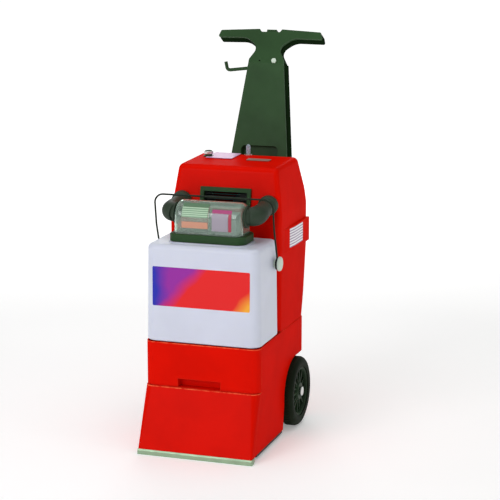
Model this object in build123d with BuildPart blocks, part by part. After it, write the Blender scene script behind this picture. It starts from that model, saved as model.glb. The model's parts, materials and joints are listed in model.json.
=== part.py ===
from build123d import *

import os
from math import atan2, cos, radians, sin, tan

# Upright carpet extractor, in millimetres.
# x runs to the right, y to the back and z up. The origin is on the floor at mid width and mid depth.
# Depths are given from the front edge of the nozzle lip and moved by FRONT.

os.makedirs("parts", exist_ok=True)

# Driving dimensions
DEPTH = 590.0                # nozzle lip to the back of the handle column
FRONT = -DEPTH / 2
HALF_W = 136.0               # half width of base, tank foot and housing
WALL = 3.0                   # moulded wall thickness
SPLIT_Z = 254.0              # where the base ends and the tank and housing begin
BASE_Z = 14.0                # underside of the base's side walls
BASE_BACK = 390.0
CORE_W = 114.5               # half width of the base between the wheels
WHEEL_Y = 330.0
WHEEL_R = 83.0
WHEEL_OUT = 153.0            # outer face of a wheel
WHEEL_IN = 119.0             # inner face of a wheel
ARCH_R = 86.0                # wheel arch in the base's side
AXLE_R = 6.0
RUNNING = 0.05               # radial clearance of a turning fit
FLOOR_Z = 151.0              # floor of the solution tank's bay
CORNER_R = 18.0              # rounding of the base's front corners, dying out at the lip
CORNER_BACK = 74.0           # depth at which the base's side walls begin above that floor
BAY_BACK = 304.0             # back wall of that bay
SLOPE = 49.0 / 145.0         # the nozzle's front leans back by this much for each unit of height
LIP_Z = 13.0
LIP_HALF = 137.0
TANK_FRONT = 52.0
TANK_BACK = 208.0
TANK_TOP = 478.0
TANK_DRAFT = 0.8             # degrees that the recovery tank's walls lean in
HOUSING_X = HALF_W - 1.0
HOUSING_FRONT = 213.0
HOUSING_TOP = 636.0
FRONT_KNEE = 508.0           # the housing's front leans back above this height
FRONT_SET_BACK = 20.5
BAND_PROUD = 5.5
DOME_Y = 129.0               # middle of the dome
DOME_R = 37.0
DOME_HALF = 81.0             # half length of the dome
DOME_Z = 498.0               # top of the dome's plate
PORT_Y = 127.0               # middle of the dome's two ports
PORT_Z = 538.5
ELBOW_R = 18.0
CUFF_X = 105.0
ELBOW_BEND = 19.4
FLANGE_T = 3.4
FLANGE_GAP = 1.2             # between an elbow's flange and the dome's end
CUFF_Z = 556.0
PIVOT_Y = 172.0              # bail pivot on the recovery tank's sides
PIVOT_Z = 426.0
BAIL_X = HALF_W + 5.5
WIRE_R = 2.1
COLUMN_Y = 466.0             # handle column's front face where it leaves the housing's top
COLUMN_Z = 630.0
COLUMN_LEAN = 13.7           # degrees back from upright
COLUMN_DEEP = 52.0
SHOULDER = 220.0             # length of the column's face up to its bend
HANDLE_LEAN = 28.0           # degrees back from upright above the bend
HANDLE_DEEP = 34.2
BAR_HALF = 133.0
SCREW_R = 3.5


def side(points):
    """(depth, height) points in the sketch plane of a section across x."""
    return [(FRONT + y, z) for y, z in points]


def across(points, low, high, mode=Mode.ADD):
    """Extrude a straight-sided (depth, height) outline from x = low to x = high."""
    with BuildSketch(Plane.YZ.offset(low)) as outline:
        with BuildLine():
            Polyline(*side(points), close=True)
        make_face()
    extrude(outline.sketch, amount=high - low, mode=mode)


def block(x, y, z, mode=Mode.ADD):
    """A box from its (low, high) pairs, with y as a depth from the lip."""
    centre = ((x[0] + x[1]) / 2, FRONT + (y[0] + y[1]) / 2, (z[0] + z[1]) / 2)
    with Locations(centre):
        Box(x[1] - x[0], y[1] - y[0], z[1] - z[0], mode=mode)


def rod(radius, start, end, mode=Mode.ADD):
    """A round bar between two (x, depth, height) points."""
    low = Vector(start[0], FRONT + start[1], start[2])
    high = Vector(end[0], FRONT + end[1], end[2])
    with BuildSketch(Plane(origin=low, z_dir=high - low)) as disc:
        Circle(radius)
    extrude(disc.sketch, amount=(high - low).length, mode=mode)


def hose(points, radius, bend, mode=Mode.ADD):
    """A round bar along straight runs with bends of one radius."""
    with BuildLine() as path:
        FilletPolyline(*[(x, FRONT + y, z) for x, y, z in points], radius=bend)
    wire = path.wires()[0]
    with BuildSketch(Plane(origin=wire @ 0, z_dir=wire % 0)) as disc:
        Circle(radius)
    sweep(disc.sketch, path=wire, mode=mode)


def pipe(points, outer, inner, bend):
    """A hollow hose."""
    hose(points, outer, bend)
    hose(points, inner, bend, Mode.SUBTRACT)


def save(builder, name):
    builder.part.label = name
    export_step(builder.part, f"parts/{name}.step")


def nozzle_y(z, behind=0.0):
    """Depth of the sloping nozzle front at height z."""
    return 1.0 + SLOPE * (z - LIP_Z) + behind


# ---------------------------------------------------------------- base
COVER_T = 5.0                # nozzle cover thickness, front to back
COVER_WRAP = 22.0            # how far the cover runs round the base's corners
CHANNEL = 12.0               # depth of the suction channel behind the cover
LEDGE_Z = 147.0              # the channel is closed above this height
COVER_TOP = 150.6
BRUSH_WINDOW_X = 122.0
RAIL_Z = 54.0
RAIL_Y = 101.0

with BuildPart() as base_shell:
    across([(nozzle_y(LIP_Z, COVER_WRAP), LIP_Z), (nozzle_y(FLOOR_Z, COVER_WRAP), FLOOR_Z),
            (CORNER_BACK, FLOOR_Z), (CORNER_BACK, SPLIT_Z), (BASE_BACK, SPLIT_Z), (BASE_BACK, 180),
            (384, 168), (384, 20), (236, 20), (236, BASE_Z), (37, BASE_Z)], -HALF_W, HALF_W)
    # the channel's back wall and the ledge over it stand inside the nozzle cover
    inside = HALF_W - COVER_T
    across([(nozzle_y(LIP_Z, COVER_T + CHANNEL), LIP_Z), (nozzle_y(FLOOR_Z, COVER_T + CHANNEL), FLOOR_Z),
            (CORNER_BACK + 20, FLOOR_Z), (CORNER_BACK + 20, BASE_Z), (37, BASE_Z)], -inside, inside)
    across([(nozzle_y(LEDGE_Z, COVER_T), LEDGE_Z), (nozzle_y(FLOOR_Z, COVER_T), FLOOR_Z),
            (CORNER_BACK, FLOOR_Z), (CORNER_BACK, LEDGE_Z)], -119, 119)
    for low, high in ((-HALF_W, -CORE_W), (CORE_W, HALF_W)):
        with BuildSketch(Plane.YZ.offset(low)) as arch:
            with BuildLine():
                Polyline(*side([(WHEEL_Y, 0), (236, 0), (236, 20), (248, 94), (WHEEL_Y, 94)]), close=True)
            make_face()
            with Locations((FRONT + WHEEL_Y, WHEEL_R)):
                Circle(ARCH_R)
            with Locations((FRONT + WHEEL_Y + 35, WHEEL_R)):
                Rectangle(70, 2 * ARCH_R)
        extrude(arch.sketch, amount=high - low, mode=Mode.SUBTRACT)
    fillet(base_shell.edges().filter_by(Axis.Z).group_by(Axis.Y)[-1], 8)
    # bay for the solution tank, open to the front and the top
    block((-HALF_W + WALL, HALF_W - WALL), (40, BAY_BACK), (FLOOR_Z, SPLIT_Z + 2), Mode.SUBTRACT)
    # rear compartment, open to the housing above
    block((-HALF_W + WALL, HALF_W - WALL), (BAY_BACK + WALL, BASE_BACK - WALL),
          (FLOOR_Z + 11, SPLIT_Z + 2), Mode.SUBTRACT)
    block((-CORE_W + WALL, CORE_W - WALL), (BAY_BACK + WALL, 381), (0, FLOOR_Z + 15), Mode.SUBTRACT)
    # lower compartment
    inner = COVER_T + CHANNEL + WALL
    roof = FLOOR_Z - WALL
    across([(nozzle_y(LIP_Z, inner), 0), (nozzle_y(LIP_Z, inner), LIP_Z), (nozzle_y(roof, inner), roof),
            (233, roof), (233, 0)], -HALF_W + COVER_T + WALL, HALF_W - COVER_T - WALL, Mode.SUBTRACT)
    block((-CORE_W + WALL, CORE_W - WALL), (230, BAY_BACK + WALL), (0, roof), Mode.SUBTRACT)
    rod(16.5, (-85, 40, 112), (-85, 90, 112), Mode.SUBTRACT)         # nozzle hose
    rod(15.0, (0, 298, 190), (0, 312, 190), Mode.SUBTRACT)           # solution valve
    rod(AXLE_R, (-CORE_W - 1, WHEEL_Y, WHEEL_R), (CORE_W + 1, WHEEL_Y, WHEEL_R), Mode.SUBTRACT)
    rod(4.0, (-HALF_W + 1, RAIL_Y, RAIL_Z), (HALF_W - 1, RAIL_Y, RAIL_Z), Mode.SUBTRACT)  # brush rail
save(base_shell, "base_shell")


def nozzle_form(inset, reach, bottom, top):
    """The nozzle's sloping front and rounded corners, from a nearly square lip to the round corners above."""
    with BuildPart() as body:
        for z in (bottom, top):
            corner = 3.0 + (CORNER_R - 3.0) * (z - LIP_Z) / (COVER_TOP - LIP_Z) - inset
            with BuildSketch(Plane.XY.offset(z)) as section:
                with Locations((0, FRONT + nozzle_y(z, (inset + reach) / 2))):
                    Rectangle(2 * (HALF_W - inset), reach - inset)
                fillet(section.vertices().group_by(Axis.Y)[0], max(corner, 0.6))
        loft()
    return body.part


with BuildPart() as nozzle_cover:
    add(nozzle_form(0.0, COVER_WRAP, LIP_Z, COVER_TOP))
    add(nozzle_form(COVER_T, COVER_WRAP + 10, LIP_Z - 1, COVER_TOP + 1), mode=Mode.SUBTRACT)
save(nozzle_cover, "nozzle_cover")

with BuildPart() as nozzle_lip:
    across([(0, 0), (0, 9), (2, LIP_Z), (21, LIP_Z), (21, 5), (17, 0)], -LIP_HALF, LIP_HALF)
    block((-124, 124), (6.5, 14.5), (-1, LIP_Z + 1), Mode.SUBTRACT)
save(nozzle_lip, "nozzle_lip")

with BuildPart() as bottom_pan:
    block((-HALF_W + 2.5, HALF_W - 2.5), (44, 236), (6, BASE_Z))
    block((-CORE_W + 1, CORE_W - 1), (236.5, 384), (BASE_Z, 20))
    block((-CORE_W + WALL + 1, CORE_W - WALL - 1), (226, 240), (BASE_Z - 2, 20))
    block((-BRUSH_WINDOW_X, BRUSH_WINDOW_X), (58, 117), (0, 30), Mode.SUBTRACT)
    fillet(bottom_pan.edges().filter_by(Axis.Z).group_by(Axis.Y)[0], 5)
save(bottom_pan, "bottom_pan")

# ---------------------------------------------------------------- brush
BRUSH_Y = 87.0

with BuildPart() as brush_rail:
    rod(4.0, (-HALF_W + 1, RAIL_Y, RAIL_Z), (HALF_W - 1, RAIL_Y, RAIL_Z))
save(brush_rail, "brush_rail")

with BuildPart() as brush_block:
    block((-117, 117), (64, 110), (22, 40))
    fillet(brush_block.edges().filter_by(Axis.Z), 6)
    for x in (-88, 88):
        block((x - 12, x + 12), (RAIL_Y - 8, RAIL_Y + 8), (38, 62))
    block((-20, 20), (BRUSH_Y - 14, BRUSH_Y + 14), (38, 44))
    rod(4.0 + RUNNING, (-120, RAIL_Y, RAIL_Z), (120, RAIL_Y, RAIL_Z), Mode.SUBTRACT)
    block((-7, 13), (BRUSH_Y - 9, BRUSH_Y + 9), (30, 50), Mode.SUBTRACT)     # crank pin's slot
save(brush_block, "brush_block")

with BuildPart() as brush_bristles:
    for row_y in (72, 87, 102):
        with BuildSketch(Plane.XY.offset(1.0)) as tufts:
            with Locations((0, FRONT + row_y)):
                with GridLocations(14.0, 1.0, 16, 1):
                    Circle(4.0)
        extrude(tufts.sketch, amount=21.0)
save(brush_bristles, "brush_bristles")

with BuildPart() as brush_motor:
    rod(31, (0, 128, 112), (0, 205, 112))
    block((-34, 34), (71, 128), (76, 147))
    block((-40, 40), (128, 136), (80, 147.8))
    rod(13, (0, BRUSH_Y, 66), (0, BRUSH_Y, 76))
    rod(4, (3, BRUSH_Y, 46), (3, BRUSH_Y, 66))
save(brush_motor, "brush_motor")

with BuildPart() as spray_jet:
    rod(5, (0, 150, 20), (0, 150, 34))
    rod(8, (0, 150, 34), (0, 150, 46))
    rod(3, (0, 150, 16), (0, 150, 20))
save(spray_jet, "spray_jet")

with BuildPart() as pump:
    rod(24, (30, 333, 118), (30, 333, 185))
    block((5, 55), (309, 352), (185, 214))
    block((0, 60), (309, 381), (112, 118))
    rod(6, (-4, 318, 200), (5, 318, 200))
save(pump, "pump")

with BuildPart() as spray_hose:
    pipe([(-4, 318, 200), (-40, 318, 200), (-40, 318, 66), (-40, 150, 66), (0, 150, 66), (0, 150, 46)],
         4.5, 2.5, 14)
save(spray_hose, "spray_hose")

# ---------------------------------------------------------------- wheels
HUB_R = 64.0

with BuildPart() as axle:
    rod(AXLE_R, (-WHEEL_OUT + 2, WHEEL_Y, WHEEL_R), (WHEEL_OUT - 2, WHEEL_Y, WHEEL_R))
save(axle, "axle")

for name, sign in (("left", -1), ("right", 1)):
    wheel_plane = Plane(origin=(0, FRONT + WHEEL_Y, WHEEL_R), x_dir=(0, 1, 0), z_dir=(sign, 0, 0))

    with BuildPart() as tyre:
        with BuildSketch(Plane.XY) as section:
            with BuildLine():
                Polyline((WHEEL_IN, HUB_R), (WHEEL_IN, 77), (WHEEL_IN + 3.5, WHEEL_R),
                         (WHEEL_OUT - 9, WHEEL_R), (WHEEL_OUT - 2.5, 77.5), (WHEEL_OUT, 71),
                         (WHEEL_OUT - 1.5, HUB_R), close=True)
            make_face()
            fillet(section.vertices().group_by(Axis.Y)[-1], 3)
        revolve(section.sketch, axis=Axis.X)
        turned = tyre.part.moved(Location((0, FRONT + WHEEL_Y, WHEEL_R)))
    with BuildPart() as tyre:
        add(turned if sign > 0 else turned.mirror(Plane.YZ))
    save(tyre, f"tyre_{name}")

    with BuildPart() as hub:
        with BuildSketch(wheel_plane.offset(WHEEL_IN + 1)) as disc:
            Circle(HUB_R)
        extrude(disc.sketch, amount=WHEEL_OUT - WHEEL_IN - 4)
        with BuildSketch(wheel_plane.offset(WHEEL_OUT - 15)) as dish:
            Circle(HUB_R - 5)
            Circle(22, mode=Mode.SUBTRACT)
            with PolarLocations(40, 6):
                Rectangle(44, 5, mode=Mode.SUBTRACT)
        extrude(dish.sketch, amount=20, mode=Mode.SUBTRACT)
        with BuildSketch(wheel_plane.offset(WHEEL_IN - 1)) as back:
            Circle(HUB_R - 5)
            Circle(20, mode=Mode.SUBTRACT)
        extrude(back.sketch, amount=11, mode=Mode.SUBTRACT)
        with BuildSketch(wheel_plane.offset(WHEEL_IN - 2)) as bore:
            Circle(AXLE_R + RUNNING)
        extrude(bore.sketch, amount=50, mode=Mode.SUBTRACT)
    save(hub, f"hub_{name}")

with BuildPart() as axle_caps:
    for sign in (-1, 1):
        rod(11, (sign * (WHEEL_OUT - 2), WHEEL_Y, WHEEL_R), (sign * (WHEEL_OUT + 1.5), WHEEL_Y, WHEEL_R))
    fillet(axle_caps.edges().filter_by(GeomType.CIRCLE).group_by(Axis.X)[0], 1.2)
    fillet(axle_caps.edges().filter_by(GeomType.CIRCLE).group_by(Axis.X)[-1], 1.2)
save(axle_caps, "axle_caps")

# ---------------------------------------------------------------- solution tank
SOL_BACK = 298.0
SOL_DECK = 236.0
SOL_X = HALF_W - 5.5
CAP_Y = 118.0
GRIP_X = (-57.0, 45.0)       # finger recess, a little left of the middle
GRIP_TOP = 171.0
TUB_FRONT = CORNER_BACK - 0.5
TUB_FLOOR = FLOOR_Z + 0.5

with BuildPart() as solution_front:
    block((-HALF_W, HALF_W), (TANK_FRONT, TUB_FRONT), (TUB_FLOOR, SPLIT_Z - 0.5))
    fillet(solution_front.edges().filter_by(Axis.Z).group_by(Axis.Y)[0], CORNER_R)
    with BuildPart(mode=Mode.PRIVATE) as hollow:
        block((-HALF_W + WALL, HALF_W - WALL), (TANK_FRONT + WALL, TUB_FRONT + 30), (TUB_FLOOR + WALL, SPLIT_Z))
        fillet(hollow.edges().filter_by(Axis.Z).group_by(Axis.Y)[0], CORNER_R - WALL)
        block((GRIP_X[0] - WALL, GRIP_X[1] + WALL), (50, TUB_FRONT), (TUB_FLOOR, GRIP_TOP + WALL),
              Mode.SUBTRACT)
    add(hollow.part, mode=Mode.SUBTRACT)
    block(GRIP_X, (50, TUB_FRONT - WALL), (TUB_FLOOR - 1, GRIP_TOP), Mode.SUBTRACT)
save(solution_front, "solution_front")

with BuildPart() as solution_tank:
    block((-SOL_X, SOL_X), (TUB_FRONT, SOL_BACK), (TUB_FLOOR, SOL_DECK))
    fillet(solution_tank.edges().filter_by(Axis.Z).group_by(Axis.Y)[-1], 12)
    rod(30, (0, CAP_Y, SOL_DECK - 1), (0, CAP_Y, 245))
    with BuildPart(mode=Mode.PRIVATE) as hollow:
        block((-SOL_X + WALL, SOL_X - WALL), (TUB_FRONT + WALL, SOL_BACK - WALL),
              (TUB_FLOOR + WALL, SOL_DECK - WALL))
        for sign in (-1, 1):
            rod(ARCH_R + 2 + WALL, (sign * (WHEEL_IN - 7), WHEEL_Y, WHEEL_R), (sign * SOL_X, WHEEL_Y, WHEEL_R),
                Mode.SUBTRACT)
    add(hollow.part, mode=Mode.SUBTRACT)
    # the back corners clear the wheels
    for sign in (-1, 1):
        rod(ARCH_R + 2, (sign * (WHEEL_IN - 4), WHEEL_Y, WHEEL_R), (sign * (SOL_X + 1), WHEEL_Y, WHEEL_R),
            Mode.SUBTRACT)
    rod(26, (0, CAP_Y, SOL_DECK - 8), (0, CAP_Y, 250), Mode.SUBTRACT)
    rod(8, (0, SOL_BACK - 6, 190), (0, SOL_BACK + 2, 190), Mode.SUBTRACT)
save(solution_tank, "solution_tank")

with BuildPart() as solution_cap:
    rod(35, (0, CAP_Y, 238.5), (0, CAP_Y, 251))
    fillet(solution_cap.edges().group_by(Axis.Z)[-1], 2)
    rod(30.35, (0, CAP_Y, 238), (0, CAP_Y, 246), Mode.SUBTRACT)
    block((-4, 4), (CAP_Y - 26, CAP_Y + 26), (248.5, 252), Mode.SUBTRACT)
save(solution_cap, "solution_cap")

with BuildPart() as solution_valve:
    rod(8, (0, SOL_BACK - 6, 190), (0, SOL_BACK, 190))
    rod(12, (0, SOL_BACK, 190), (0, SOL_BACK + 9, 190))
    rod(6.5, (0, SOL_BACK - 18, 190), (0, SOL_BACK - 6, 190))
save(solution_valve, "solution_valve")

with BuildPart() as solution_filter:
    rod(11, (0, SOL_BACK - 60, 190), (0, SOL_BACK - 12, 190))
    rod(9.5, (0, SOL_BACK - 57, 190), (0, SOL_BACK - 11, 190), Mode.SUBTRACT)
save(solution_filter, "solution_filter")

# ---------------------------------------------------------------- recovery tank
TANK_MID = (TANK_FRONT + TANK_BACK) / 2
MOUTH_X = 70.0
MOUTH_Y = (101.0, 153.0)
PLATE_Y = 126.0
PAD_Z = 480.0


def tank_solid(inset, bottom, top, corner, edge):
    """The recovery tank's outer form, or with an inset its water space."""
    draft = (bottom - SPLIT_Z) * tan(radians(TANK_DRAFT)) + inset
    with BuildPart() as body:
        with BuildSketch(Plane.XY.offset(bottom)) as foot:
            with Locations((0, FRONT + TANK_MID)):
                RectangleRounded(2 * (HALF_W - draft), TANK_BACK - TANK_FRONT - 2 * draft, corner)
        extrude(foot.sketch, amount=top - bottom, taper=TANK_DRAFT)
        fillet(body.faces().sort_by(Axis.Z)[-1].edges(), edge)
        fillet(body.faces().sort_by(Axis.Z)[0].edges(), edge / 2)
    return body.part


with BuildPart() as recovery_tank:
    add(tank_solid(0.0, SPLIT_Z + 0.4, TANK_TOP, 24.0, 12.0))
    with BuildSketch(Plane.XY.offset(TANK_TOP - 4)) as pad:
        with Locations((0, FRONT + PLATE_Y)):
            RectangleRounded(188, 94, 24)
    extrude(pad.sketch, amount=PAD_Z - TANK_TOP + 4)
    add(tank_solid(WALL, SPLIT_Z + 0.4 + WALL, TANK_TOP - WALL, 21.0, 9.0), mode=Mode.SUBTRACT)
    block((-MOUTH_X, MOUTH_X), MOUTH_Y, (TANK_TOP - 12, PAD_Z + 1), Mode.SUBTRACT)
    for sign in (-1, 1):
        rod(5.0, (sign * (HALF_W - 12), PIVOT_Y, PIVOT_Z), (sign * (HALF_W + 8), PIVOT_Y, PIVOT_Z), Mode.SUBTRACT)
save(recovery_tank, "recovery_tank")

with BuildPart() as tank_gasket:
    with BuildSketch(Plane.XY.offset(PAD_Z)) as ring:
        with Locations((0, FRONT + PLATE_Y)):
            RectangleRounded(158, 70, 14)
            RectangleRounded(146, 58, 9, mode=Mode.SUBTRACT)
    extrude(ring.sketch, amount=0.7)
save(tank_gasket, "tank_gasket")

with BuildPart() as bail_buttons:
    # spindle, washers outside and inside the wall, and the cap, by distance from the tank's foot
    for radius, start, end in ((5.0, -7.5, 9), (9.0, -2.1, 2.4), (9.0, -10.5, -7.0), (16.5, 8.5, 14)):
        for sign in (-1, 1):
            rod(radius, (sign * (HALF_W + start), PIVOT_Y, PIVOT_Z), (sign * (HALF_W + end), PIVOT_Y, PIVOT_Z))
    for rim in (bail_buttons.faces().sort_by(Axis.X)[0], bail_buttons.faces().sort_by(Axis.X)[-1]):
        fillet(rim.edges(), 3.0)
save(bail_buttons, "bail_buttons")

EYE_R = 13.5
BAIL_TOP = (134.0, 578.0)

with BuildPart() as bail_handle:
    lean = atan2(PIVOT_Y - BAIL_TOP[0], BAIL_TOP[1] - PIVOT_Z)
    foot_y, foot_z = PIVOT_Y - 10 * sin(lean), PIVOT_Z + 10 * cos(lean)
    knee_y, knee_z = 145.0, 506.0
    hose([(-BAIL_X, foot_y, foot_z), (-BAIL_X, knee_y, knee_z), (-BAIL_X, *BAIL_TOP),
          (BAIL_X, *BAIL_TOP), (BAIL_X, knee_y, knee_z), (BAIL_X, foot_y, foot_z)], WIRE_R, 22)
save(bail_handle, "bail_handle")

with BuildPart() as bail_eyes:
    for sign in (-1, 1):
        near, far = sign * (HALF_W + 2.9), sign * (HALF_W + 8.1)
        rod(EYE_R, (near, PIVOT_Y, PIVOT_Z), (far, PIVOT_Y, PIVOT_Z))
        rod(5.0 + RUNNING, (near - sign, PIVOT_Y, PIVOT_Z), (far + sign, PIVOT_Y, PIVOT_Z), Mode.SUBTRACT)
    add(bail_handle.part, mode=Mode.SUBTRACT)
save(bail_eyes, "bail_eyes")

# ---------------------------------------------------------------- dome
def dome_solid(inset, bottom, edge):
    """A half barrel along x on straight sides, with rounded ends."""
    radius = DOME_R - inset
    spring = DOME_Z + 35.0
    with BuildPart() as body:
        with BuildSketch(Plane.YZ.offset(-DOME_HALF + inset)) as section:
            with Locations((FRONT + DOME_Y, spring)):
                Circle(radius)
            with Locations((FRONT + DOME_Y, (bottom + spring) / 2)):
                Rectangle(2 * radius, spring - bottom)
        extrude(section.sketch, amount=2 * (DOME_HALF - inset))
        split(bisect_by=Plane.XY.offset(bottom), keep=Keep.TOP)
        ends = body.faces().filter_by(Axis.X)
        fillet(ends.edges().filter_by(lambda e: e.center().Z > bottom + 1), edge)
    return body.part


with BuildPart() as dome_base:
    with BuildSketch(Plane.XY.offset(PAD_Z + 1.1)) as plate:
        with Locations((0, FRONT + PLATE_Y)):
            RectangleRounded(182, 88, 22)
    extrude(plate.sketch, amount=DOME_Z - PAD_Z - 1.1)
    fillet(dome_base.faces().sort_by(Axis.Z)[-1].edges(), 2.5)
    block((-66, 66), (105, 149), (PAD_Z, DOME_Z + 1), Mode.SUBTRACT)
save(dome_base, "dome_base")

with BuildPart() as dome_cover:
    add(dome_solid(0.0, DOME_Z, 14.0))
    with BuildSketch(Plane.XY.offset(DOME_Z)) as skirt:
        with Locations((0, FRONT + DOME_Y)):
            RectangleRounded(2 * DOME_HALF, 2 * DOME_R + 5, 16)
    extrude(skirt.sketch, amount=2.5)
    add(dome_solid(2.5, DOME_Z - 1, 11.5), mode=Mode.SUBTRACT)
    rod(15.5, (-90, PORT_Y, PORT_Z), (90, PORT_Y, PORT_Z), Mode.SUBTRACT)
save(dome_cover, "dome_cover")

with BuildPart() as dome_divider:
    with BuildSketch(Plane.YZ.offset(4.0)) as wall:
        with Locations((FRONT + DOME_Y, DOME_Z + 35)):
            Circle(DOME_R - 2.8)
        with Locations((FRONT + DOME_Y, DOME_Z + 17.5)):
            Rectangle(2 * (DOME_R - 2.8), 35)
    extrude(wall.sketch, amount=2.5)
save(dome_divider, "dome_divider")

SCREEN = ((14.0, 64.0), (107.0, 147.0), (DOME_Z - 16.0, DOME_Z + 46.0))

with BuildPart() as dome_screen:
    block(*SCREEN)
    block((SCREEN[0][0] + 2, SCREEN[0][1] - 2), (SCREEN[1][0] + 2, SCREEN[1][1] - 2),
          (SCREEN[2][0] - 1, SCREEN[2][1] - 2), Mode.SUBTRACT)
save(dome_screen, "dome_screen")

# ---------------------------------------------------------------- motor housing
def housing_solid(inset, edge):
    """The housing's outer form, or with an inset the space inside it."""
    top_z = HOUSING_TOP + 10
    with BuildPart() as body:
        with BuildSketch(Plane.YZ) as section:
            with BuildLine():
                Polyline(*side([(HOUSING_FRONT, 240), (HOUSING_FRONT, FRONT_KNEE),
                                (HOUSING_FRONT + FRONT_SET_BACK, HOUSING_TOP - 3),
                                (397, HOUSING_TOP + 1), (425.5, 560), (425.5, 425), (406, 312),
                                (386, 240)]), close=True)
            make_face()
            corners = section.vertices().sort_by(Axis.Y)
            fillet(corners.filter_by(lambda v: 500 < v.Y < 520), 90)
            fillet(section.vertices().filter_by(lambda v: v.Y > 600), 16)
            fillet(section.vertices().filter_by(lambda v: 550 < v.Y < 570 and v.X > FRONT + 400), 60)
            if inset:
                offset(amount=-inset, kind=Kind.INTERSECTION)
        extrude(section.sketch, amount=HALF_W + 10, both=True)
        with BuildSketch(Plane.XZ) as face:
            with BuildLine():
                Polyline((-HOUSING_X, 0), (-HOUSING_X, 528), (-118.5, top_z), (118.5, top_z),
                         (HOUSING_X, 528), (HOUSING_X, 0), close=True)
            make_face()
            fillet(face.vertices().filter_by(lambda v: 520 < v.Y < 540), 70)
            if inset:
                offset(amount=-inset, kind=Kind.INTERSECTION)
        extrude(face.sketch, amount=600, both=True, mode=Mode.INTERSECT)
        rims = body.faces().filter_by(lambda f: abs(f.normal_at().X) > 0.9).edges()
        fillet(rims.filter_by(lambda e: e.center().Z > 245), edge)
        with Locations((0, 0, SPLIT_Z - 50)):
            Box(400, 800, 100, mode=Mode.SUBTRACT)
    return body.part


VENT_X = 61.5
VENT_Z = (545.0, 585.0)
BAND_Y = (248.0, 424.0)      # the side band rises out of the wall from front to back
BAND_Z = (434.0, 490.0)

with BuildPart() as motor_housing:
    add(housing_solid(0.0, 11.0))
    for sign in (-1, 1):
        with BuildSketch(Plane.XY.offset(BAND_Z[0])) as band:
            with BuildLine():
                Polyline(*[(sign * (HOUSING_X + out), FRONT + y) for out, y in
                           ((-1, BAND_Y[0] - 6), (0.5, BAND_Y[0]), (BAND_PROUD, BAND_Y[0] + 60),
                            (BAND_PROUD, BAND_Y[1]), (-1, BAND_Y[1]))], close=True)
            make_face()
        extrude(band.sketch, amount=BAND_Z[1] - BAND_Z[0])
    add(housing_solid(WALL, 8.0), mode=Mode.SUBTRACT)
    block((-300, 300), (0, 600), (SPLIT_Z - 60, SPLIT_Z + 0.01), Mode.SUBTRACT)
    block((-53, 53), (HOUSING_FRONT - 10, 245), (549, 576), Mode.SUBTRACT)
    for x in (-CUFF_X, CUFF_X):
        rod(ELBOW_R - 2.2, (x, 195, 553.2), (x, 250, 554.5), Mode.SUBTRACT)
    rod(6.2, (0, 385, 620), (0, 385, 650), Mode.SUBTRACT)            # power switch
    rod(8.5, (-86, 345, 620), (-86, 345, 650), Mode.SUBTRACT)        # hose coupler
    rod(8.0, (-80, 380, 300), (-80, 430, 300), Mode.SUBTRACT)        # cord inlet
    block((-70, 70), (390, 430), (350, 400), Mode.SUBTRACT)          # exhaust
save(motor_housing, "motor_housing")

with BuildPart() as motor_tray:
    block((-HALF_W + WALL, HALF_W - WALL), (HOUSING_FRONT + WALL, BASE_BACK - WALL), (SPLIT_Z, SPLIT_Z + 3))
    rod(17, (-85, 345, 250), (-85, 345, 262), Mode.SUBTRACT)
    add(motor_housing.part, mode=Mode.SUBTRACT)
save(motor_tray, "motor_tray")

FAN_Y = 312.0

with BuildPart() as vacuum_motor:
    rod(48, (0, FAN_Y, 300), (0, FAN_Y, 396))
    rod(58, (0, FAN_Y, 292), (0, FAN_Y, 300))
    for angle in range(0, 360, 90):
        x, y = 50 * cos(radians(angle + 45)), 50 * sin(radians(angle + 45))
        rod(6, (x, FAN_Y + y, SPLIT_Z + 3), (x, FAN_Y + y, 292))
    rod(5, (0, FAN_Y, 296), (0, FAN_Y, 400), Mode.SUBTRACT)
save(vacuum_motor, "vacuum_motor")

with BuildPart() as fan_housing:
    rod(66, (0, FAN_Y, 396), (0, FAN_Y, 448))
    fillet(fan_housing.edges().group_by(Axis.Z)[-1], 6)
    rod(62.5, (0, FAN_Y, 399), (0, FAN_Y, 445), Mode.SUBTRACT)
    rod(16, (0, FAN_Y, 440), (0, FAN_Y, 450), Mode.SUBTRACT)
    rod(8, (0, FAN_Y, 390), (0, FAN_Y, 402), Mode.SUBTRACT)
save(fan_housing, "fan_housing")

with BuildPart() as vacuum_rotor:
    rod(5 - RUNNING, (0, FAN_Y, 300), (0, FAN_Y, 424))
    rod(56, (0, FAN_Y, 404), (0, FAN_Y, 406.5))
    rod(14, (0, FAN_Y, 404), (0, FAN_Y, 424))
    for angle in range(0, 360, 45):
        blade_plane = Plane(origin=(0, FRONT + FAN_Y, 406), x_dir=(cos(radians(angle)), sin(radians(angle)), 0),
                            z_dir=(0, 0, 1))
        with BuildSketch(blade_plane) as blade:
            with Locations((34, 0)):
                Rectangle(42, 2.5)
        extrude(blade.sketch, amount=16)
save(vacuum_rotor, "vacuum_rotor")

with BuildPart() as vacuum_hose:
    pipe([(CUFF_X - 3, 234, 554), (CUFF_X - 3, FAN_Y, 554), (0, FAN_Y, 554), (0, FAN_Y, 448)], 15.5, 13, 32)
save(vacuum_hose, "vacuum_hose")

with BuildPart() as nozzle_hose:
    pipe([(-85, 60, 112), (-85, 345, 112), (-85, 345, 552), (3 - CUFF_X, 234, 554)], 16, 13.5, 40)
save(nozzle_hose, "nozzle_hose")

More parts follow.
